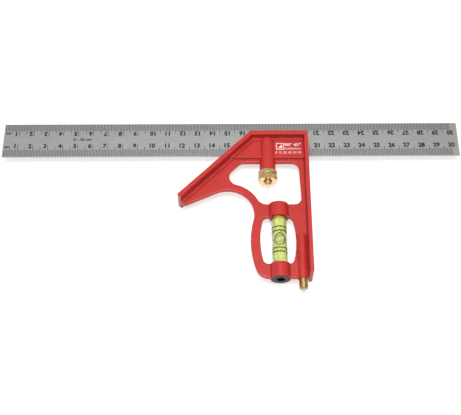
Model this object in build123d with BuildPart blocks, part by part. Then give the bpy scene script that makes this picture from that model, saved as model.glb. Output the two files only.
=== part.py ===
from build123d import *
import math
import os

# Combination square: a cast head that slides along a 12 inch rule and clamps on it.
# The tool lies on its back. X runs along the blade, +Y is the blade's far edge and Z is up.
# The origin is below the middle of the whole tool, on the surface that the head rests on.
# Head outlines are drawn from the corner where the top rim meets the 90 degree face:
# across is to the right of that corner and down is below it, so most places are negative.

# ---- overall sizes ----
blade_length = 304.8
square_length = 102.1  # the 90 degree face
mitre_leg = 47.6  # the 45 degree face, measured along X and along Y alike
head_thick = 17.0

# ---- blade ----
blade_width = 25.4
blade_thick = 1.0
blade_proud = 10.3  # the blade's far edge stands this far beyond the top rim
groove_width = 3.0
groove_depth = 0.4
slot_clear = 0.1  # all round the blade in its slot

# ---- head walls and plate ----
head_right = 51.1  # from the blade's middle to the 90 degree face
rim_length = 37.9  # the flat top between the 90 and 45 degree faces
rim_thick = 3.0
face_thick = 2.5  # wall behind the 90 degree face
mitre_thick = 2.9  # wall behind the 45 degree face
web_thick = 3.0
panel_thick = 6.0  # the thick plate that covers the blade slot
panel_below_seat = 3.1
ledge_width = 2.4  # raised foot of the walls, with a sloping side
ledge_rise = 1.0
ledge_slope = 28

web_edge_round = 0.7
wall_edge_round = 0.3
boss_foot_round = 0.7  # beside the bolt boss, on the thick plate
face_end_round = 1.0
buried = 1.2  # how far plates and ledges run into the walls
cut_past = 1.0  # how far an open bore is cut beyond its end

# ---- head outline ----
tip_end = 6.4  # cut end of the arm, square to the 45 degree face
tip_round = 0.8
arch_radius = 17.3  # finger arch under the arm
arch_from_mitre = 2.7  # right of where the 45 degree face passes the plate's lower edge
arch_below_panel = 40.5
arch_end_angle = -14.75  # where the arch runs into the handle's left side
foot_width = 33.0
foot_below_face = 1.4  # the web ends this far below the 90 degree face
foot_round = 9.0

# ---- windows ----
window_below_panel = 2.5
arm_band = 10.0  # from the 45 degree face to the upper window
arch_band = 5.0  # between the finger arch and the upper window
side_band_top = 6.4
side_band_bottom = 5.2
upper_window_height = 31.0
upper_window_round = 4.8
crook_room = 13.4  # shared by the vial boss and the round between it and the finger arch
upper_window_nose_round = 6.4
window_gap = 9.6  # between the two windows
vial_window_above_foot = 9.8
vial_window_left_gap = 3.5  # between the vial's bosses and the window's left corners
vial_window_right_gap = 1.85
vial_window_bulge = 2.3
vial_window_round = 3.6

# ---- clamp: slotted bolt, spring and spool nut ----
bolt_across = -26.8
bolt_shank_dia = 4.4
bolt_travel = 0.8
bolt_sunk = 0.2  # top of the bolt below the rim when clamped
bolt_solid = 1.6  # bolt below its blade slot
jaw_spare = 0.3  # left under the blade when the bolt is raised
hook_gap = 0.05  # below the hook when clamped
hook_spare = 0.55  # above the hook when raised
hook_floor_gap = 0.1
hook_share = 0.7  # hook's width over the bolt's diameter
stud_chamfer = 0.5
running_clear = 0.05  # on the radius, for turning and sliding fits
spring_length = 5.3
spring_wire = 0.6
spring_turns = 4
spring_side_gap = 0.2
spring_shank_gap = 0.3
spring_end_gap = 0.1
boss_floor = 3.8
bolt_boss_wall = 1.95
nut_dia = 12.7
nut_collar_dia = 10.6
nut_collar_length = 0.3
nut_upper_length = 2.6
nut_neck_length = 0.7
nut_lower_length = 3.5
nut_neck_dia = 11.0
nut_end_dia = 5.8  # mouth of the recess around the stud
nut_end_depth = 1.8
nut_recess_gap = 0.4  # round the stud, at the bottom of the recess
nut_chamfer = 0.45
knurl_notches = 60
knurl_size = 0.15  # half the side of a square notch, set cornerwise
nut_seat_gap = 0.05
stud_proud = 3.2

# ---- spirit level ----
vial_across = -20.4
vial_dia = 9.8
vial_wall = 1.0
vial_end_wall = 2.5
vial_fit = 0.1  # on the radius
vial_boss_inset = 0.2  # below the upper window's edge
vial_boss_length = 9.7
vial_bore_floor = 3.0
vial_lower_boss_length = 9.8
vial_cushion_thick = 1.2
vial_cap_length = 7.2
cap_gap = 0.02
plug_lip = 0.9  # the plug is this much wider than the vial, on the radius
plug_length = 4.6
plug_proud = 0.2
plug_hole_dia = 5.4
plug_chamfer = 0.4
plug_boss_wall = 0.6
bubble_length = 8.6
bubble_width = 6.8
bubble_depth = 2.6  # below the top of the vial's bore

# ---- scriber ----
scriber_across = -6.3
scriber_boss_length = 30.0
scriber_boss_wall = 1.1
sleeve_wall = 0.65
sleeve_length = 12.0
spigot_dia = 3.4
scriber_knob_dia = 5.5
scriber_knob_length = 6.5
scriber_knob_round = 0.9
scriber_gap = 0.1
needle_dia = 1.6
needle_point_length = 5.0
needle_flat_dia = 0.2
needle_grip = 6.0  # needle held inside the knob's spigot
needle_end_gap = 1.0
needle_bore_dia = 3.0
needle_bore_end = 2.0  # solid left at the blind end
boss_below_foot = 0.3

# ---- worked out ----
middle_z = head_thick / 2
seat_down = -(blade_width - blade_proud)
panel_down = seat_down - panel_below_seat
arch_down = panel_down - arch_below_panel
arch_across = panel_down - rim_length + arch_from_mitre
window_top_down = panel_down - window_below_panel
upper_window_bottom = window_top_down - upper_window_height
vial_window_top = upper_window_bottom - window_gap
foot_down = -(square_length + foot_below_face)
vial_window_bottom = foot_down + vial_window_above_foot
boss_end_down = foot_down - boss_below_foot
depth = blade_proud - boss_end_down + scriber_gap + scriber_knob_length
corner_y = depth / 2 - blade_proud

jaw_floor_down = seat_down - slot_clear - bolt_travel - jaw_spare
bolt_shoulder_down = jaw_floor_down - bolt_solid
bolt_step_down = bolt_shoulder_down - spring_length
bolt_boss_end_down = bolt_step_down - boss_floor
coil_radius = bolt_shank_dia / 2 + spring_shank_gap + spring_wire / 2
bolt_body_dia = 2 * (coil_radius + spring_wire / 2 + spring_side_gap)
hook_height = groove_width - hook_gap - bolt_travel - hook_spare
nut_recess_dia = bolt_shank_dia + 2 * nut_recess_gap
nut_length = nut_collar_length + nut_upper_length + nut_neck_length + nut_lower_length
bolt_boss_dia = bolt_body_dia + 2 * running_clear + 2 * bolt_boss_wall

vial_bore_dia = vial_dia - 2 * vial_wall
plug_dia = vial_dia + 2 * plug_lip
vial_boss_dia = plug_dia + 2 * plug_boss_wall
crook_round = crook_room - vial_boss_dia / 2
vial_boss_top = upper_window_bottom - vial_boss_inset
vial_boss_end_down = vial_boss_top - vial_boss_length
vial_bore_top_down = vial_boss_top - vial_bore_floor
vial_top_down = vial_bore_top_down - vial_cushion_thick
plug_top_down = boss_end_down - plug_proud + plug_length
liquid_top_down = vial_top_down - vial_cap_length

sleeve_bore_dia = spigot_dia + 2 * running_clear
sleeve_dia = sleeve_bore_dia + 2 * sleeve_wall
scriber_boss_dia = sleeve_dia + 2 * scriber_boss_wall
scriber_boss_top = boss_end_down + scriber_boss_length
needle_bore_top_down = scriber_boss_top - needle_bore_end

root_half = math.sqrt(0.5)

os.makedirs("parts", exist_ok=True)


def head_plane(height):
    """Level plane whose origin is the corner of the top rim and the 90 degree face."""
    return Plane(origin=(head_right, corner_y, height))


def facing_down(across, down):
    """Plane square to Y, drawn from the handle's end; an extrusion runs towards -Y."""
    place = (head_right + across, corner_y + down, middle_z)
    return Plane(origin=place, x_dir=(1, 0, 0), z_dir=(0, -1, 0))


def axis_plane(across, down):
    """Level plane through an axis along Y, for profiles that are turned about it."""
    return Plane(origin=(head_right + across, corner_y + down, middle_z))


def axis_along_y(across):
    """The axis that a turned piece is revolved about."""
    return Axis((head_right + across, 0, middle_z), (0, 1, 0))


def rod(across, start, end, diameter, mode=Mode.ADD):
    """Round bar or hole along Y, between two places below the rim."""
    with BuildSketch(facing_down(across, start)) as disc:
        Circle(diameter / 2)
    extrude(disc.sketch, amount=start - end, mode=mode)


def on_mitre(inset, down):
    """Point below the rim on a line that runs inside the 45 degree face at this distance."""
    return Vector(down - rim_length + inset / root_half, down)


def raised_band(points, base_thick):
    """Ledge with sloping sides on both faces of a plate; its points run anticlockwise."""
    for side in (1, -1):
        with BuildSketch(head_plane(middle_z + side * base_thick / 2)) as foot:
            with BuildLine():
                Polyline(points, close=True)
            make_face()
        extrude(foot.sketch, amount=ledge_rise, dir=(0, 0, side), taper=ledge_slope)


def boss_feet(head, across, diameter, plate_thick):
    """Straight edges where a round boss rises out of a plate."""
    half = plate_thick / 2
    spread = math.sqrt((diameter / 2) ** 2 - half**2)
    feet = ShapeList()
    for edge in head.edges().filter_by(Axis.Y):
        side = abs(edge.center().X - head_right - across)
        height = abs(edge.center().Z - middle_z)
        if abs(side - spread) < 0.01 and abs(height - half) < 0.01:
            feet.append(edge)
    return feet


# ---- head outline points ----
corner = Vector(0, 0)
mitre_top = on_mitre(0, 0)
tip = on_mitre(0, -mitre_leg)
inward = Vector(root_half, -root_half)  # square to the 45 degree face, into the head
tip_foot = tip + inward * tip_end
arch_centre = Vector(arch_across, arch_down)

to_arch = arch_centre - tip_foot
arm_angle = math.degrees(
    math.atan2(to_arch.Y, to_arch.X) + math.asin(arch_radius / to_arch.length)
)
arch_start = arch_centre + Vector(0, arch_radius).rotate(Axis.Z, arm_angle)
arch_crown = arch_centre + Vector(0, arch_radius)
arch_end = arch_centre + Vector(arch_radius, 0).rotate(Axis.Z, arch_end_angle)
handle_heading = Vector(0, -1).rotate(Axis.Z, arch_end_angle)
foot_left = Vector(-foot_width, foot_down)

window_corners = [
    on_mitre(arm_band, window_top_down),
    Vector(-side_band_top, window_top_down),
    Vector(-side_band_bottom, upper_window_bottom),
]
# Nearest place to the arch on the upper window's slanting edge.
to_edge = (arch_centre - on_mitre(arm_band, 0)).dot(inward)
nose_point = arch_centre - inward * to_edge


# ---- head casting ----
with BuildPart() as head_casting:
    with BuildSketch(head_plane(middle_z)) as web:
        with BuildLine():
            Polyline(
                arch_start,
                tip_foot,
                tip,
                mitre_top,
                corner,
                (0, -square_length),
                (-face_thick, -square_length),
                (-face_thick, foot_down),
                foot_left,
            )
            TangentArc(arch_end, foot_left, tangent=handle_heading)
            ThreePointArc(arch_end, arch_crown, arch_start)
        make_face()
        fillet(web.vertices().sort_by_distance(foot_left)[0], foot_round)
        fillet(web.vertices().sort_by_distance(tip_foot)[0], tip_round)
    extrude(amount=web_thick / 2, both=True)

    with BuildSketch(head_plane(middle_z)) as upper_window:
        with BuildLine():
            Polyline(
                *window_corners,
                (arch_across, upper_window_bottom),
                nose_point,
                close=True,
            )
        make_face()
        with Locations(arch_centre):
            Circle(arch_radius + arch_band, mode=Mode.SUBTRACT)
        fillet(upper_window.vertices().sort_by(Axis.X)[0], upper_window_nose_round)
        crook = Vector(arch_across + arch_radius + arch_band, upper_window_bottom)
        fillet(upper_window.vertices().sort_by_distance(crook)[0], crook_round)
        for place in window_corners:
            fillet(upper_window.vertices().sort_by_distance(place)[0], upper_window_round)
    extrude(amount=web_thick, both=True, mode=Mode.SUBTRACT)

    with BuildSketch(head_plane(middle_z)) as vial_window:
        left = vial_across - vial_boss_dia / 2 - vial_window_left_gap
        right = vial_across + vial_boss_dia / 2 + vial_window_right_gap
        with BuildLine():
            Line((left, vial_window_top), (right, vial_window_top))
            SagittaArc((right, vial_window_top), (right, vial_window_bottom), vial_window_bulge)
            Line((right, vial_window_bottom), (left, vial_window_bottom))
            SagittaArc((left, vial_window_bottom), (left, vial_window_top), vial_window_bulge)
        make_face()
        fillet(vial_window.vertices(), vial_window_round)
    extrude(amount=web_thick, both=True, mode=Mode.SUBTRACT)
    plate_faces = head_casting.faces().filter_by(Axis.Z)
    fillet(plate_faces.edges(), web_edge_round)

    # Thick plate on both sides of the blade slot.
    with BuildSketch(head_plane(middle_z)):
        with BuildLine():
            Polyline(
                (-buried, -buried),
                on_mitre(buried, -buried),
                on_mitre(buried, panel_down),
                (-buried, panel_down),
                close=True,
            )
        make_face()
    extrude(amount=panel_thick / 2, both=True)

    # Ledges at the foot of the walls, on the thick plate and on the arm.
    wall_side = mitre_thick - buried
    ledge_side = mitre_thick + ledge_width
    raised_band(
        [
            Vector(buried - face_thick, buried - rim_thick),
            on_mitre(wall_side, buried - rim_thick),
            on_mitre(wall_side, panel_down),
            on_mitre(ledge_side, panel_down),
            on_mitre(ledge_side, -rim_thick - ledge_width),
            Vector(buried - face_thick, -rim_thick - ledge_width),
        ],
        panel_thick,
    )
    raised_band(
        [
            on_mitre(wall_side, panel_down + buried),
            tip + inward * wall_side,
            tip + inward * ledge_side,
            on_mitre(ledge_side, panel_down + buried),
        ],
        web_thick,
    )

    # Walls behind the rim and the two working faces.
    with BuildSketch(head_plane(middle_z)):
        with BuildLine():
            Polyline(
                tip,
                mitre_top,
                corner,
                (0, -square_length),
                (-face_thick, -square_length),
                (-face_thick, -rim_thick),
                on_mitre(mitre_thick, -rim_thick),
                tip + inward * mitre_thick,
                close=True,
            )
        make_face()
    extrude(amount=head_thick / 2, both=True)
    face_end = (head_right, corner_y - square_length, middle_z)
    fillet(head_casting.edges().filter_by(Axis.Z).sort_by_distance(face_end)[0], face_end_round)
    wall_tops = head_casting.faces().sort_by(Axis.Z)
    fillet(wall_tops[0].edges() + wall_tops[-1].edges(), wall_edge_round)

    # Bosses for the clamp bolt, the vial and the scriber.
    rod(bolt_across, -rim_thick / 2, bolt_boss_end_down, bolt_boss_dia)
    rod(vial_across, vial_boss_top, vial_boss_end_down, vial_boss_dia)
    rod(vial_across, boss_end_down + vial_lower_boss_length, boss_end_down, vial_boss_dia)
    rod(scriber_across, scriber_boss_top, boss_end_down, scriber_boss_dia)

    bolt_feet = boss_feet(head_casting, bolt_across, bolt_boss_dia, panel_thick)
    fillet(bolt_feet, boss_foot_round)

    # Blade slot, open at the rim and at both ends.
    slot_depth = -seat_down + slot_clear
    with BuildSketch(facing_down(0, 0)):
        Rectangle(4 * blade_length, blade_thick + 2 * slot_clear)
    extrude(amount=slot_depth, mode=Mode.SUBTRACT)

    # Stepped bore for the clamp bolt and its spring.
    bolt_bore_dia = bolt_body_dia + 2 * running_clear
    rod(bolt_across, cut_past, bolt_step_down, bolt_bore_dia, Mode.SUBTRACT)
    stud_bore_dia = bolt_shank_dia + 2 * running_clear
    stud_bore_end = bolt_boss_end_down - cut_past
    rod(bolt_across, bolt_step_down + cut_past, stud_bore_end, stud_bore_dia, Mode.SUBTRACT)

    # Blind bore for the vial, and its mouth for the end plug.
    vial_hole_dia = vial_dia + 2 * vial_fit
    rod(vial_across, vial_bore_top_down, boss_end_down, vial_hole_dia, Mode.SUBTRACT)
    rod(vial_across, plug_top_down, boss_end_down - cut_past, plug_dia, Mode.SUBTRACT)

    # Scriber bore, wider for the sleeve.
    rod(scriber_across, needle_bore_top_down, boss_end_down, needle_bore_dia, Mode.SUBTRACT)
    sleeve_top_down = boss_end_down + sleeve_length
    rod(scriber_across, sleeve_top_down, boss_end_down - cut_past, sleeve_dia, Mode.SUBTRACT)
head_casting.part.label = "head_casting"
export_step(head_casting.part, "parts/head_casting.step")


# ---- blade, with the clamp groove along its back ----
blade_middle_y = depth / 2 - blade_width / 2
with BuildPart() as blade:
    with BuildSketch(Plane(origin=(0, blade_middle_y, middle_z - blade_thick / 2))):
        Rectangle(blade_length, blade_width)
    extrude(amount=blade_thick)
    with BuildSketch(Plane(origin=(0, blade_middle_y, middle_z - blade_thick / 2))):
        Rectangle(blade_length, groove_width)
    extrude(amount=groove_depth, mode=Mode.SUBTRACT)
blade.part.label = "blade"
export_step(blade.part, "parts/blade.step")


# ---- clamp bolt: two jaws astride the blade, and a hook in the groove ----
groove_down = blade_proud - blade_width / 2
hook_down = groove_down - groove_width / 2 + hook_gap
hook_base_z = middle_z - blade_thick / 2 - slot_clear
with BuildPart() as lock_bolt:
    rod(bolt_across, -bolt_sunk, bolt_shoulder_down, bolt_body_dia)
    rod(bolt_across, bolt_shoulder_down, bolt_boss_end_down - nut_length - stud_proud, bolt_shank_dia)
    stud_end = lock_bolt.faces().sort_by(Axis.Y)[0]
    chamfer(stud_end.edges(), stud_chamfer)
    with BuildSketch(facing_down(bolt_across, 0)):
        Rectangle(2 * bolt_body_dia, blade_thick + 2 * slot_clear)
    extrude(amount=-jaw_floor_down, mode=Mode.SUBTRACT)
    hook_place = (head_right + bolt_across, corner_y + hook_down + hook_height / 2, hook_base_z)
    with BuildSketch(Plane(origin=hook_place)):
        Rectangle(bolt_body_dia * hook_share, hook_height)
    extrude(amount=slot_clear + groove_depth - hook_floor_gap)
lock_bolt.part.label = "lock_bolt"
export_step(lock_bolt.part, "parts/lock_bolt.step")


# ---- spring between the bolt's shoulder and the step in its bore ----
coil_rise = spring_length - spring_wire - 2 * spring_end_gap
spring_pitch = coil_rise / spring_turns
spring_start = corner_y + bolt_step_down + spring_wire / 2 + spring_end_gap
with BuildPart() as lock_spring:
    with BuildLine() as coil:
        Helix(
            pitch=spring_pitch,
            height=coil_rise,
            radius=coil_radius,
            center=(head_right + bolt_across, spring_start, middle_z),
            direction=(0, 1, 0),
        )
    with BuildSketch(Plane(origin=coil.line @ 0, z_dir=coil.line % 0)):
        Circle(spring_wire / 2)
    sweep(path=coil.line, is_frenet=True)
lock_spring.part.label = "lock_spring"
export_step(lock_spring.part, "parts/lock_spring.step")


# ---- brass spool nut on the stud ----
with BuildPart() as lock_nut:
    with BuildSketch(axis_plane(bolt_across, bolt_boss_end_down - nut_seat_gap)) as profile:
        flange_1 = nut_collar_length
        neck = flange_1 + nut_upper_length
        flange_2 = neck + nut_neck_length
        end = flange_2 + nut_lower_length
        with BuildLine():
            Polyline(
                (bolt_shank_dia / 2 + running_clear, 0),
                (nut_collar_dia / 2, 0),
                (nut_collar_dia / 2, -flange_1),
                (nut_dia / 2, -flange_1),
                (nut_dia / 2, -neck),
                (nut_neck_dia / 2, -neck),
                (nut_neck_dia / 2, -flange_2),
                (nut_dia / 2, -flange_2),
                (nut_dia / 2, -end),
                (nut_end_dia / 2, -end),
                (nut_recess_dia / 2, nut_end_depth - end),
                (bolt_shank_dia / 2 + running_clear, nut_end_depth - end),
                close=True,
            )
        make_face()
        rims = profile.vertices().group_by(Axis.X)[-1]
        chamfer(rims, nut_chamfer)
    revolve(axis=axis_along_y(bolt_across))
    with BuildSketch(facing_down(bolt_across, bolt_boss_end_down)):
        with PolarLocations(nut_dia / 2, knurl_notches):
            Rectangle(knurl_size * 2, knurl_size * 2, rotation=45)
    extrude(amount=2 * nut_length, mode=Mode.SUBTRACT)
lock_nut.part.label = "lock_nut"
export_step(lock_nut.part, "parts/lock_nut.step")


# ---- spirit level vial: acrylic body, spirit with its bubble, end cap, pad and plug ----
with BuildPart() as vial_tube:
    rod(vial_across, vial_top_down, plug_top_down, vial_dia)
    rod(vial_across, vial_top_down, plug_top_down + vial_end_wall, vial_bore_dia, Mode.SUBTRACT)
vial_tube.part.label = "vial_tube"
export_step(vial_tube.part, "parts/vial_tube.step")

bubble_down = (vial_boss_end_down + boss_end_down + vial_lower_boss_length) / 2
bubble_scale = (bubble_width / 2, bubble_length / 2, bubble_depth)
bubble_z = middle_z + vial_bore_dia / 2
with BuildPart() as vial_liquid:
    rod(vial_across, liquid_top_down, plug_top_down + vial_end_wall, vial_bore_dia)
    bubble = scale(Solid.make_sphere(1), by=bubble_scale, mode=Mode.PRIVATE)
    with Locations((head_right + vial_across, corner_y + bubble_down, bubble_z)):
        add(bubble, mode=Mode.SUBTRACT)
vial_liquid.part.label = "vial_liquid"
export_step(vial_liquid.part, "parts/vial_liquid.step")

with BuildPart() as vial_cap:
    rod(vial_across, vial_top_down, liquid_top_down + cap_gap, vial_bore_dia)
vial_cap.part.label = "vial_cap"
export_step(vial_cap.part, "parts/vial_cap.step")

with BuildPart() as vial_cushion:
    rod(vial_across, vial_bore_top_down, vial_top_down, vial_dia)
vial_cushion.part.label = "vial_cushion"
export_step(vial_cushion.part, "parts/vial_cushion.step")

with BuildPart() as vial_plug:
    rod(vial_across, plug_top_down, plug_top_down - plug_length, plug_dia)
    chamfer(vial_plug.faces().sort_by(Axis.Y)[0].edges(), plug_chamfer)
    rod(vial_across, plug_top_down, plug_top_down - plug_length, plug_hole_dia, Mode.SUBTRACT)
vial_plug.part.label = "vial_plug"
export_step(vial_plug.part, "parts/vial_plug.step")


# ---- scriber: brass knob, hardened needle and the sleeve that grips it ----
with BuildPart() as scriber_sleeve:
    rod(scriber_across, sleeve_top_down, boss_end_down, sleeve_dia)
    rod(scriber_across, sleeve_top_down, boss_end_down, sleeve_bore_dia, Mode.SUBTRACT)
scriber_sleeve.part.label = "scriber_sleeve"
export_step(scriber_sleeve.part, "parts/scriber_sleeve.step")

knob_top_down = boss_end_down - scriber_gap
with BuildPart() as scriber_knob:
    rod(scriber_across, knob_top_down, knob_top_down - scriber_knob_length, scriber_knob_dia)
    fillet(scriber_knob.faces().sort_by(Axis.Y)[0].edges(), scriber_knob_round)
    rod(scriber_across, sleeve_top_down, knob_top_down, spigot_dia)
    rod(scriber_across, sleeve_top_down, sleeve_top_down - needle_grip, needle_dia, Mode.SUBTRACT)
scriber_knob.part.label = "scriber_knob"
export_step(scriber_knob.part, "parts/scriber_knob.step")

needle_tip_down = needle_bore_top_down - needle_end_gap
with BuildPart() as scriber_needle:
    needle_shoulder_down = needle_tip_down - needle_point_length
    rod(scriber_across, needle_shoulder_down, sleeve_top_down - needle_grip, needle_dia)
    with BuildSketch(axis_plane(scriber_across, needle_shoulder_down)):
        with BuildLine():
            Polyline(
                (0, 0),
                (needle_dia / 2, 0),
                (needle_flat_dia / 2, needle_point_length),
                (0, needle_point_length),
                close=True,
            )
        make_face()
    revolve(axis=axis_along_y(scriber_across))
scriber_needle.part.label = "scriber_needle"
export_step(scriber_needle.part, "parts/scriber_needle.step")
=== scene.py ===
import math

import bmesh
import bpy
from mathutils import Matrix, Vector


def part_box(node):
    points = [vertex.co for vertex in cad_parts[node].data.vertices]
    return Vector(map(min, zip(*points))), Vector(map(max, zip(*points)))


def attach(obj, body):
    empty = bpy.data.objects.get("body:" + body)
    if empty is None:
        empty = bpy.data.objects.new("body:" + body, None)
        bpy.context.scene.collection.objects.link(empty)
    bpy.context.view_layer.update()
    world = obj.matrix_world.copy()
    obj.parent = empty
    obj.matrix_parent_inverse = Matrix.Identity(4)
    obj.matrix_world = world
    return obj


# Looks of the combination square: camera, light, materials and the fine marks that the CAD
# model leaves out. Lengths are in metres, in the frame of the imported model.
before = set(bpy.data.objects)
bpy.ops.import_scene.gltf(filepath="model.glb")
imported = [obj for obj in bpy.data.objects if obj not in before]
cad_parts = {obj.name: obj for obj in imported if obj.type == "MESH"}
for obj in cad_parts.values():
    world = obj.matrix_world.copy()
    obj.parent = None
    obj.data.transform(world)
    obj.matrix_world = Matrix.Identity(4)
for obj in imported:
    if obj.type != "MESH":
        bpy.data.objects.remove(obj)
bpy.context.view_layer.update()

MM = 0.001
INK_THICK = 0.03 * MM  # half of it stands above the steel
BUBBLE_ABOVE_END = 21.6 * MM  # middle of the bubble, from the vial's lower end
BUBBLE_SHADE_REACH = (3.6 * MM, 4.9 * MM, 4.2 * MM)  # half-axes of the painted shade round the bubble, where the spirit is darker and duller
scene = bpy.context.scene


# ---- materials -------------------------------------------------------------------------

class Recipe:
    """A node material that is built up from the Principled shader."""

    def __init__(self, name):
        self.material = bpy.data.materials.new(name)
        self.material.use_nodes = True
        self.tree = self.material.node_tree
        self.shader = self.tree.nodes["Principled BSDF"]
        self.coords = self.tree.nodes.new("ShaderNodeTexCoord").outputs["Object"]

    def node(self, kind, **settings):
        made = self.tree.nodes.new(kind)
        for key, value in settings.items():
            setattr(made, key, value)
        return made

    def link(self, source, target):
        self.tree.links.new(source, target)

    def fixed(self, **sockets):
        """Numbers and colours that are the same all over the surface."""
        for name, value in sockets.items():
            self.shader.inputs[name.replace("_", " ")].default_value = value

    def stretched(self, scale):
        mapping = self.node("ShaderNodeMapping")
        mapping.inputs["Scale"].default_value = scale
        self.link(self.coords, mapping.inputs["Vector"])
        return mapping.outputs["Vector"]

    def noise(self, scale, detail=4.0, stretch=(1, 1, 1)):
        texture = self.node("ShaderNodeTexNoise")
        texture.inputs["Scale"].default_value = scale
        texture.inputs["Detail"].default_value = detail
        self.link(self.stretched(stretch), texture.inputs["Vector"])
        return texture.outputs["Fac"]

    def blend(self, factor, first, second):
        """Colour between two others."""
        mix = self.node("ShaderNodeMix", data_type="RGBA")
        self.link(factor, mix.inputs["Factor"])
        for socket, value in ((mix.inputs[6], first), (mix.inputs[7], second)):
            if isinstance(value, bpy.types.NodeSocket):
                self.link(value, socket)
            else:
                socket.default_value = (*value, 1.0)
        return mix.outputs[2]

    def span(self, value, low, high, start=0.3, end=0.7):
        """Number that runs from low to high as value runs from start to end."""
        spread = self.node("ShaderNodeMapRange")
        for name, number in (("From Min", start), ("From Max", end), ("To Min", low), ("To Max", high)):
            spread.inputs[name].default_value = number
        self.link(value, spread.inputs["Value"])
        return spread.outputs["Result"]

    def colour(self, value):
        self.link(value, self.shader.inputs["Base Color"])

    def roughness(self, value):
        self.link(value, self.shader.inputs["Roughness"])

    def bump(self, height, depth, strength=1.0):
        bump = self.node("ShaderNodeBump")
        bump.inputs["Distance"].default_value = depth
        bump.inputs["Strength"].default_value = strength
        self.link(height, bump.inputs["Height"])
        previous = self.shader.inputs["Normal"].links
        if previous:
            self.link(previous[0].from_socket, bump.inputs["Normal"])
        self.link(bump.outputs["Normal"], self.shader.inputs["Normal"])

    def soft_edges(self, radius):
        """Catch the light along edges as if they were rounded."""
        bevel = self.node("ShaderNodeBevel", samples=6)
        bevel.inputs["Radius"].default_value = radius
        self.link(bevel.outputs["Normal"], self.shader.inputs["Normal"])

    def creases(self, reach):
        """0 in tight inner corners, 1 in the open: ambient occlusion, used to paint shade into the
        corners.
        """
        occlusion = self.node("ShaderNodeAmbientOcclusion", samples=8)
        occlusion.inputs["Distance"].default_value = reach
        return occlusion.outputs["AO"]


def powder_coat():
    """Gloss red powder coat: orange peel, faint mottling, and painted shade that darkens the red in the
    creases.
    """
    paint = Recipe("red_powder_coat")
    mottle = paint.noise(140, 5)
    base = paint.blend(paint.span(mottle, 0, 1), (0.386, 0.020, 0.016), (0.432, 0.026, 0.021))
    # Painted shade: the red goes nearly black-red wherever ambient occlusion finds a tight corner or
    # the foot of a wall.
    painted_crease_shade_mask = paint.span(paint.creases(0.8 * MM), 0, 1, 0.3, 0.92)
    paint.colour(paint.blend(painted_crease_shade_mask, (0.17, 0.004, 0.006), base))
    paint.roughness(paint.span(paint.noise(500, 3), 0.27, 0.38))
    paint.fixed(Coat_Weight=0.12, Coat_Roughness=0.12, Specular_IOR_Level=0.32)
    paint.soft_edges(0.35 * MM)
    paint.bump(paint.noise(1100, 2), 0.02 * MM, 0.6)
    paint.bump(paint.noise(4200, 2), 0.006 * MM, 0.5)
    return paint.material


def satin_steel():
    """Rule steel, ground along its length."""
    steel = Recipe("satin_steel")
    grain = steel.noise(1.0, 6, (60, 9000, 9000))
    cloud = steel.noise(45, 4)
    tone = steel.blend(steel.span(grain, 0, 1), (0.37, 0.37, 0.366), (0.455, 0.455, 0.448))
    steel.colour(steel.blend(steel.span(cloud, 0, 0.35), tone, (0.35, 0.35, 0.35)))
    steel.roughness(steel.span(grain, 0.34, 0.46))
    steel.fixed(Metallic=1.0)
    steel.bump(grain, 0.004 * MM, 0.5)
    return steel.material


def turned_metal(name, dark, light, low, high):
    """Lathe-turned metal, with fine rings around an axis along Y and a little tarnish."""
    metal = Recipe(name)
    rings = metal.noise(1.0, 3, (1, 2600, 1))
    tarnish = metal.noise(420, 5)
    metal.colour(metal.blend(metal.span(tarnish, 0, 1, 0.35, 0.65), dark, light))
    metal.roughness(metal.span(rings, low, high))
    metal.fixed(Metallic=1.0)
    metal.bump(rings, 0.01 * MM, 0.5)
    return metal.material


def moulded(name, dark, light, low, high, grain=900, depth=0.01, **fixed):
    """Moulded plastic or rubber with a fine grain."""
    plastic = Recipe(name)
    plastic.colour(plastic.blend(plastic.span(plastic.noise(260, 4), 0, 1), dark, light))
    plastic.roughness(plastic.span(plastic.noise(grain, 3), low, high))
    plastic.fixed(**fixed)
    plastic.bump(plastic.noise(grain, 3), depth * MM, 0.6)
    return plastic.material


def clear_acrylic():
    return moulded("clear_acrylic", (0.96, 0.98, 0.90), (1.0, 1.0, 0.96), 0.02, 0.06,
                   grain=300, depth=0.002, Transmission_Weight=1.0, IOR=1.44)


def level_spirit():
    """Fluorescent yellow-green spirit, cloudy, with its glow painted in as a faint steady light, and
    painted shade round its bubble, where it is darker and duller.
    """
    spirit = Recipe("level_spirit")
    low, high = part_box("vial_liquid")
    tube_low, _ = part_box("vial_tube")
    bubble = Vector(((low.x + high.x) / 2, tube_low.y + BUBBLE_ABOVE_END, high.z))
    to_object = bpy.data.objects["vial_liquid"].matrix_world.inverted()
    place = spirit.node("ShaderNodeMapping", vector_type="TEXTURE")
    place.inputs["Location"].default_value = to_object @ bubble
    place.inputs["Scale"].default_value = BUBBLE_SHADE_REACH
    spirit.link(spirit.coords, place.inputs["Vector"])
    ball = spirit.node("ShaderNodeTexGradient", gradient_type="SPHERICAL")
    spirit.link(place.outputs["Vector"], ball.inputs["Vector"])
    swirl = spirit.span(spirit.noise(260, 4), 0, 1)
    full = spirit.blend(swirl, (0.44, 0.515, 0.137), (0.505, 0.58, 0.175))
    # Painted shade: the spirit is darker and duller round the bubble, standing for how the bubble bends
    # the light.
    painted_bubble_shade = spirit.span(ball.outputs["Fac"], 0, 1, 0.0, 0.1)
    spirit.colour(spirit.blend(painted_bubble_shade, full, (0.30, 0.33, 0.115)))
    spirit.roughness(spirit.span(spirit.noise(200, 3), 0.04, 0.10))
    spirit.bump(spirit.noise(200, 3), 0.001 * MM, 0.6)
    # Painted light: the dye's real fluorescence is painted in as a steady faint emission, so the spirit
    # glows under any lamp.
    spirit.fixed(Transmission_Weight=0.35, IOR=1.33, Emission_Color=(0.55, 0.70, 0.14, 1.0),
                 Emission_Strength=0.05)
    return spirit.material


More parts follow.
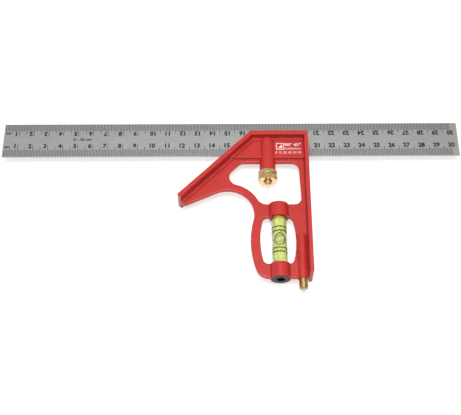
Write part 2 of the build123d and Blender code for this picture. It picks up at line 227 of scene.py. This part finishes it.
MATERIALS = {
    "head_casting": powder_coat(),
    "blade": satin_steel(),
    "lock_bolt": turned_metal("plated_steel", (0.74, 0.54, 0.29), (0.90, 0.72, 0.44), 0.22, 0.38),
    "lock_nut": turned_metal("brass", (0.66, 0.47, 0.23), (0.90, 0.70, 0.40), 0.18, 0.32),
    "scriber_knob": turned_metal("dull_brass", (0.30, 0.19, 0.07), (0.50, 0.34, 0.13), 0.32, 0.46),
    "scriber_needle": turned_metal("needle_steel", (0.38, 0.38, 0.39), (0.56, 0.56, 0.57), 0.2, 0.3),
    "lock_spring": turned_metal("spring_steel", (0.25, 0.25, 0.26), (0.42, 0.42, 0.43), 0.3, 0.45),
    "vial_tube": clear_acrylic(),
    "vial_liquid": level_spirit(),
    "vial_cap": moulded("amber_plastic", (0.45, 0.22, 0.03), (0.60, 0.33, 0.06), 0.25, 0.4),
    "vial_cushion": moulded("black_rubber", (0.02, 0.02, 0.02), (0.04, 0.04, 0.04), 0.6, 0.8),
    "vial_plug": moulded("black_plastic", (0.006, 0.006, 0.007), (0.016, 0.016, 0.018), 0.3, 0.45,
                         Specular_IOR_Level=0.22),
    "scriber_sleeve": moulded("nylon", (0.66, 0.65, 0.60), (0.78, 0.77, 0.72), 0.4, 0.55),
}
for node_name, finish in MATERIALS.items():
    for material_slot in bpy.data.objects[node_name].material_slots:
        material_slot.material = finish


# ---- camera ----------------------------------------------------------------------------

def add_camera():
    """Looks down on the tool from the handle's side, turned a hair off level."""
    elevation = math.radians(62.37)
    roll = math.radians(-0.22)
    distance = 605.0 * MM
    aim = Vector((-0.3 * MM, 1.08 * MM, 0.0))
    back = Vector((0, -math.cos(elevation), math.sin(elevation)))
    right = Vector((1, 0, 0))
    up = back.cross(right)
    rolled_right = right * math.cos(roll) + up * math.sin(roll)
    rolled_up = back.cross(rolled_right)
    data = bpy.data.cameras.new("camera")
    data.lens = 72.0
    data.clip_start = 0.01
    camera = bpy.data.objects.new("camera", data)
    turn = Matrix((rolled_right, rolled_up, back)).transposed().to_4x4()
    camera.matrix_world = Matrix.Translation(aim + back * distance) @ turn
    scene.collection.objects.link(camera)
    scene.camera = camera


# ---- light and floor -------------------------------------------------------------------

def add_light(name, place, aim, size, power):
    data = bpy.data.lights.new(name, "AREA")
    data.shape = "RECTANGLE"
    data.size, data.size_y = size
    data.energy = power
    light = bpy.data.objects.new(name, data)
    light.location = place
    light.rotation_euler = (Vector(aim) - Vector(place)).to_track_quat("-Z", "Y").to_euler()
    scene.collection.objects.link(light)


def add_floor():
    """White paper sweep under the tool, flat and far wider than the view."""
    half = 3.0
    mesh = bpy.data.meshes.new("floor")
    mesh.from_pydata([(-half, -half, 0), (half, -half, 0), (half, half, 0), (-half, half, 0)], [],
                     [(0, 1, 2, 3)])
    floor = bpy.data.objects.new("floor", mesh)
    paper = Recipe("white_paper")
    mottle = paper.span(paper.noise(30, 3), 0, 1)
    paper.colour(paper.blend(mottle, (0.40, 0.40, 0.40), (0.44, 0.44, 0.44)))
    paper.roughness(paper.span(paper.noise(90, 3), 0.85, 0.95))
    paper.bump(paper.noise(1500, 3), 0.01 * MM, 0.3)
    paper.fixed(Emission_Color=(1.0, 1.0, 1.0, 1.0), Emission_Strength=0.66)
    mesh.materials.append(paper.material)
    scene.collection.objects.link(floor)


def set_world(overhead, horizon):
    """White studio surroundings, brighter overhead than at the horizon."""
    world = bpy.data.worlds.new("studio")
    world.use_nodes = True
    nodes, links = world.node_tree.nodes, world.node_tree.links
    direction = nodes.new("ShaderNodeTexCoord").outputs["Generated"]
    parts = nodes.new("ShaderNodeSeparateXYZ")
    links.new(direction, parts.inputs["Vector"])
    full_at = 0.8  # height in the sky, from 0 at the horizon to 1, where it is brightest
    rise = nodes.new("ShaderNodeMapRange")
    rise.inputs["From Max"].default_value = full_at
    rise.inputs["To Min"].default_value = horizon
    rise.inputs["To Max"].default_value = overhead
    links.new(parts.outputs["Z"], rise.inputs["Value"])
    background = nodes["Background"]
    background.inputs["Color"].default_value = (1, 1, 1, 1)
    links.new(rise.outputs["Result"], background.inputs["Strength"])
    scene.world = world


# ---- marks -----------------------------------------------------------------------------

def etched_ink():
    return moulded("etched_ink", (0.010, 0.010, 0.011), (0.030, 0.030, 0.032), 0.5, 0.7,
                   Specular_IOR_Level=0.2)


def white_print():
    return moulded("white_print", (0.62, 0.52, 0.50), (0.74, 0.64, 0.62), 0.35, 0.5)


def vial_ink():
    return moulded("vial_ink", (0.008, 0.012, 0.003), (0.020, 0.028, 0.006), 0.4, 0.55,
                   Specular_IOR_Level=0.2)


def meniscus():
    # Painted shade: the dark olive ring stands for the bubble's dark outline, which comes from light
    # bent at its edge.
    return moulded("bubble_edge", (0.03, 0.05, 0.005), (0.06, 0.09, 0.01), 0.15, 0.25,
                   grain=200, depth=0.001)


def finished(name, mesh, material, body):
    """Wrap a mesh as a piece that rides on a body."""
    mesh.materials.clear()
    mesh.materials.append(material)
    piece = bpy.data.objects.new(name, mesh)
    scene.collection.objects.link(piece)
    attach(piece, body)
    return piece


def add_block(bm, low, high):
    """Closed box between two corners."""
    corners = [
        bm.verts.new((x, y, z))
        for z in (low[2], high[2])
        for y in (low[1], high[1])
        for x in (low[0], high[0])
    ]
    for face in ((0, 2, 3, 1), (4, 5, 7, 6), (0, 1, 5, 4), (2, 6, 7, 3), (0, 4, 6, 2), (1, 3, 7, 5)):
        bm.faces.new([corners[i] for i in face])


def add_text(bm, words, height, place, turned=False, squeeze=1.0, weight=0.0):
    """Flat lettering in the built-in font, centred on a place, as a thin solid."""
    curve = bpy.data.curves.new("letters", "FONT")
    curve.body = words
    curve.size = 1.0
    curve.align_x = "CENTER"
    curve.extrude = 0.5
    curve.offset = weight
    curve.resolution_u = 4
    holder = bpy.data.objects.new("letters", curve)
    mesh = bpy.data.meshes.new_from_object(holder)
    points = [vertex.co for vertex in mesh.vertices]
    low_x, high_x = min(p.x for p in points), max(p.x for p in points)
    low_y, high_y = min(p.y for p in points), max(p.y for p in points)
    scale = height / (high_y - low_y)
    centre = Matrix.Translation((-(low_x + high_x) / 2, -(low_y + high_y) / 2, 0))
    grow = Matrix.Diagonal((scale * squeeze, scale, INK_THICK, 1))
    spin = Matrix.Rotation(math.pi if turned else 0, 4, "Z")
    mesh.transform(Matrix.Translation(place) @ spin @ grow @ centre)
    bm.from_mesh(mesh)
    bpy.data.objects.remove(holder)
    bpy.data.curves.remove(curve)
    bpy.data.meshes.remove(mesh)


def to_mesh(bm, name):
    bmesh.ops.recalc_face_normals(bm, faces=bm.faces)
    mesh = bpy.data.meshes.new(name)
    bm.to_mesh(mesh)
    bm.free()
    return mesh


def add_graduations(ink):
    """Millimetre ticks along both edges, longer at each half and whole centimetre."""
    low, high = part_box("blade")
    top = high.z
    bm = bmesh.new()
    tick_width = 0.33 * MM
    margin = 0.25 * MM  # plain steel between a tick's foot and the blade's edge
    plain_tick, half_tick, whole_tick = 5.4 * MM, 7.4 * MM, 9.3 * MM
    short_whole_tick = 6.2 * MM  # under a number of two figures, which leaves less room
    for edge, inward in ((low.y, 1), (high.y, -1)):
        for mark in range(1, 301):
            x = low.x + mark * MM
            if mark % 10 == 0:
                reach = whole_tick if mark < 100 else short_whole_tick
            elif mark % 5 == 0:
                reach = half_tick
            else:
                reach = plain_tick
            ends = sorted((edge + inward * margin, edge + inward * reach))
            add_block(
                bm,
                (x - tick_width / 2, ends[0], top - INK_THICK / 2),
                (x + tick_width / 2, ends[1], top + INK_THICK / 2),
            )
    finished("rule_graduations", to_mesh(bm, "rule_graduations"), ink, "rule")


def add_numbers(ink):
    """Centimetre numbers in two rows, the far row upside down for use from that edge."""
    low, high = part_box("blade")
    near_row = low.y + 8.3 * MM
    far_row = high.y - 7.6 * MM
    number_height, unit_height, range_height = 3.5 * MM, 1.6 * MM, 2.0 * MM
    beside_tick = 1.9 * MM  # numbers of one figure stand to the left of their tick
    unit_x = low.x + 2.6 * MM
    range_x = low.x + 53 * MM
    range_y = (low.y + high.y) / 2 + 0.6 * MM
    bm = bmesh.new()
    for centimetre in range(1, 31):
        x = low.x + centimetre * 10 * MM
        if centimetre < 10:
            x -= beside_tick
        for y, turned in ((near_row, False), (far_row, True)):
            add_text(bm, str(centimetre), number_height, (x, y, high.z), turned, weight=0.05)
    for y, turned in ((near_row - 0.8 * MM, False), (far_row + 0.5 * MM, True)):
        add_text(bm, "mm", unit_height, (unit_x, y, high.z), turned, squeeze=0.8, weight=0.04)
    add_text(bm, "0 - 30 cm", range_height, (range_x, range_y, high.z), squeeze=1.25, weight=0.04)
    finished("rule_numbers", to_mesh(bm, "rule_numbers"), ink, "rule")


def add_prism(bm, outline, bottom, top):
    """Upright prism on an outline that runs anticlockwise."""
    floor_ring = [bm.verts.new((x, y, bottom)) for x, y in outline]
    roof_ring = [bm.verts.new((x, y, top)) for x, y in outline]
    count = len(outline)
    bm.faces.new(list(reversed(floor_ring)))
    bm.faces.new(roof_ring)
    for i in range(count):
        j = (i + 1) % count
        bm.faces.new((floor_ring[i], floor_ring[j], roof_ring[j], roof_ring[i]))


def add_plate_print(paint):
    """Generic white print on the thick plate: a set square in a frame, angles and a small scale."""
    low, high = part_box("head_casting")
    plate_half = 3.0 * MM  # from the middle of the head to the plate's face
    surface = (low.z + high.z) / 2 + plate_half
    bottom, top = surface - INK_THICK / 2, surface + INK_THICK / 2
    bm = bmesh.new()

    def at(across, down):
        """Place so many millimetres left of the head's right-angled corner, and below it."""
        return high.x - across * MM, high.y - down * MM

    def bar(first, second):
        add_block(bm, (*at(*first), bottom), (*at(*second), top))

    # frame, and the set square in it
    left, right, upper, lower, rim = 20.9, 15.8, 6.7, 11.7, 0.5
    bar((left, upper + rim), (right, upper))
    bar((left, lower), (right, lower - rim))
    bar((left, lower - rim), (left - rim, upper + rim))
    bar((right + rim, lower - rim), (right, upper + rim))
    toe, heel, foot, peak = 19.7, 17.0, 10.6, 7.7
    add_prism(bm, [at(toe, foot), at(heel, foot), at(heel, peak)], bottom, top)

    # angles, with a small scale under them that stands on the frame's lower line
    add_text(bm, "90\u00b0 45\u00b0", 2.3 * MM, (*at(10.0, 7.9), surface), squeeze=1.25, weight=0.02)
    first_tick, pitch, half_tick = 15.0, 0.72, 0.14
    long_tick, short_tick = 1.9, 1.2
    for mark in range(15):
        middle = first_tick - mark * pitch
        length = long_tick if mark % 5 == 0 else short_tick
        bar((middle + half_tick, lower), (middle - half_tick, lower - length))
    degrees = "0 15 30 45 60 90"
    add_text(bm, degrees, 1.8 * MM, (*at(12.9, 13.9), surface), squeeze=0.95, weight=-0.01)
    finished("plate_print", to_mesh(bm, "plate_print"), paint, "head")


def turned_band(bm, centre, outer, inner, y, width, steps=96):
    """Thin ring about an axis along Y."""
    rings = []
    for radius, offset in ((outer, -1), (outer, 1), (inner, 1), (inner, -1)):
        rings.append([
            bm.verts.new((
                centre.x + radius * math.cos(2 * math.pi * k / steps),
                y + offset * width / 2,
                centre.z + radius * math.sin(2 * math.pi * k / steps),
            ))
            for k in range(steps)
        ])
    for a in range(4):
        b = (a + 1) % 4
        for k in range(steps):
            n = (k + 1) % steps
            bm.faces.new((rings[a][k], rings[a][n], rings[b][n], rings[b][k]))


def add_vial_marks(ink):
    """Two pairs of printed rings on the vial, either side of its bubble."""
    low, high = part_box("vial_tube")
    centre = (low + high) / 2
    radius = (high.x - low.x) / 2
    bubble_y = low.y + BUBBLE_ABOVE_END
    outer, inner, width = radius + 0.02 * MM, radius - 0.03 * MM, 0.55 * MM
    bm = bmesh.new()
    for above_bubble in (-8.7, -6.1, 5.8, 8.6):
        turned_band(bm, centre, outer, inner, bubble_y + above_bubble * MM, width)
    finished("vial_rings", to_mesh(bm, "vial_rings"), ink, "head")


def add_bubble_edge(material):
    """Dark ring of painted shade round the bubble, where it meets the top of the vial's bore."""
    low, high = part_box("vial_liquid")
    centre = (low + high) / 2
    bore = (high.x - low.x) / 2
    tube_low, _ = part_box("vial_tube")
    bubble_y = tube_low.y + BUBBLE_ABOVE_END
    middle = Vector((centre.x, bubble_y, centre.z))
    half_width, half_length, thick = 2.92 * MM, 4.28 * MM, 0.2 * MM
    steps, sides = 72, 10
    path = []
    for k in range(steps):
        turn = 2 * math.pi * k / steps
        x = half_width * math.cos(turn)
        path.append(Vector((x, half_length * math.sin(turn), math.sqrt(bore * bore - x * x))))
    bm = bmesh.new()
    rings = []
    for k in range(steps):
        along = (path[(k + 1) % steps] - path[k - 1]).normalized()
        outward = Vector((path[k].x, 0, path[k].z)).normalized()
        aside = along.cross(outward).normalized()
        ring = []
        for j in range(sides):
            turn = 2 * math.pi * j / sides
            spoke = thick * (outward * math.cos(turn) + aside * math.sin(turn))
            ring.append(bm.verts.new(middle + path[k] + spoke))
        rings.append(ring)
    for k in range(steps):
        n = (k + 1) % steps
        for j in range(sides):
            m = (j + 1) % sides
            bm.faces.new((rings[k][j], rings[n][j], rings[n][m], rings[k][m]))
    finished("bubble_edge", to_mesh(bm, "bubble_edge"), material, "head")


# ---- the scene -------------------------------------------------------------------------

add_camera()
add_floor()
set_world(overhead=0.62, horizon=0.44)
add_light("softbox_top", place=(0.0, -0.045, 0.80), aim=(0, 0, 0), size=(0.46, 0.30), power=6.6)
scene.view_settings.view_transform = "Standard"

rule_ink = etched_ink()
add_graduations(rule_ink)
add_numbers(rule_ink)
add_plate_print(white_print())
add_vial_marks(vial_ink())
add_bubble_edge(meniscus())
# A clear tube would shade the spirit, as no light is traced through its curved wall.
bpy.data.objects["vial_tube"].visible_shadow = False
